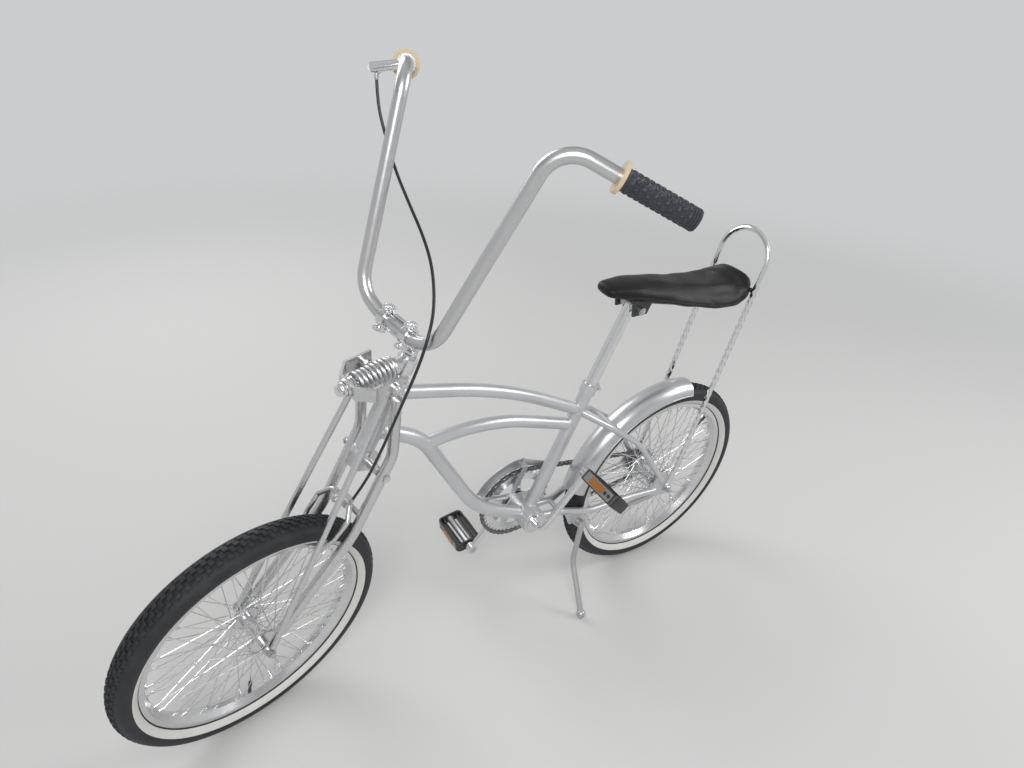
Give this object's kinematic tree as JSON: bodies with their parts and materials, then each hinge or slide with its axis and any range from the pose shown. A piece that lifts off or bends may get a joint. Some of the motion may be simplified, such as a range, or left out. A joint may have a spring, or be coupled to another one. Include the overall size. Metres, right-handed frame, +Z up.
{
  "type": "chopper style bicycle",
  "caption": "Low chopper-style bicycle with springer fork, tall handlebar, long padded seat, twisted backrest bar, coaster rear hub, front rim brake and side stand.",
  "frame": {"origin": "on the ground, below the middle of the parked bicycle's bounding box", "axes": "+X forward along the frame, +Y to the rider's left, the side it leans to on its stand, +Z up"},
  "size_m": [1.4742, 0.624, 1.2018],
  "materials": {
    "frame_paint": "satin silver paint",
    "chrome": "polished",
    "steel": "zinc plated",
    "alloy": "polished alloy",
    "chain_steel": "oiled",
    "tyre": "black with a white side wall",
    "grip": "dark grey, dotted",
    "flange": "pale",
    "vinyl": "padded vinyl",
    "pedal": "moulded",
    "cable": "sleeved"
  },
  "bodies": {
    "frame": {"head_tube": "frame_paint", "bottom_bracket_shell": "frame_paint", "seat_tube": "frame_paint", "down_tube": "frame_paint", "top_tube": "frame_paint", "second_tube": "frame_paint", "chain_stays": "frame_paint", "dropouts": "frame_paint", "seat_stays": "frame_paint", "bracket_cups": "steel", "headset_cups": "chrome", "seat_post": "chrome", "seat_post_collar": "chrome", "seat_clamp": "steel", "seat_pad": "vinyl", "seat_pan": "steel", "sissy_bar": "chrome", "rear_fender": "chrome", "rear_axle": "steel", "brake_arm": "steel", "chain_guard": "chrome", "stand_bracket": "chrome", "chain": "chain_steel"},
    "steering": {"steerer": "chrome", "spring_bracket": "chrome", "spring_bolt": "chrome", "fork_spring": "chrome", "spring_yoke": "chrome", "fork_legs": "chrome", "truss_struts": "chrome", "yoke_bolts": "chrome", "pivot_bolt": "chrome", "pivot_spacers": "chrome", "brake_bridge": "chrome", "front_brake_caliper": "chrome", "front_axle": "chrome", "handlebar": "chrome", "grip_left": "grip", "grip_right": "grip", "grip_flanges": "flange", "stem": "chrome", "stem_caps": "chrome", "brake_lever": "alloy", "brake_cable": "cable"},
    "front_wheel": {"front_tyre": "tyre", "front_rim": "alloy", "front_hub": "chrome", "front_spokes": "steel"},
    "rear_wheel": {"rear_tyre": "tyre", "rear_rim": "alloy", "rear_hub": "chrome", "rear_spokes": "steel", "rear_sprocket": "chain_steel"},
    "crank": {"crank": "chrome", "chainring": "chrome"},
    "pedal_left": {"pedal_left": "pedal"},
    "pedal_right": {"pedal_right": "pedal"},
    "side_stand": {"side_stand": "chrome"}
  },
  "joints": [
    {"name": "steering_turn", "type": "hinge", "parent": "frame", "child": "steering", "pos_m": [0.23498, -0.02803, 0.65175], "axis": [-0.4399, 0.0626, 0.8959], "range_deg": [-56.1, 27.9]},
    {"name": "front_wheel_spin", "type": "hinge", "parent": "steering", "child": "front_wheel", "pos_m": [0.48729, -0.04317, 0.25207], "axis": [-0.2189, 0.96, -0.1746], "continuous": true},
    {"name": "rear_wheel_spin", "type": "hinge", "parent": "frame", "child": "rear_wheel", "pos_m": [-0.48129, -0.05583, 0.25538], "axis": [-0.0001, 0.9976, -0.0698], "continuous": true},
    {"name": "crank_spin", "type": "hinge", "parent": "frame", "child": "crank", "pos_m": [-0.11144, -0.05423, 0.27766], "axis": [-0.0001, 0.9976, -0.0698], "continuous": true},
    {"name": "pedal_left_spin", "type": "hinge", "parent": "crank", "child": "pedal_left", "pos_m": [-0.19618, 0.03045, 0.41367], "axis": [-0.0001, 0.9976, -0.0698], "continuous": true},
    {"name": "pedal_right_spin", "type": "hinge", "parent": "crank", "child": "pedal_right", "pos_m": [-0.0267, -0.13891, 0.14166], "axis": [-0.0001, 0.9976, -0.0698], "continuous": true},
    {"name": "side_stand_fold", "type": "hinge", "parent": "frame", "child": "side_stand", "pos_m": [-0.23634, -0.01775, 0.22621], "axis": [0.0002, 0.9903, 0.1392], "range_deg": [0, 88]}
  ]
}
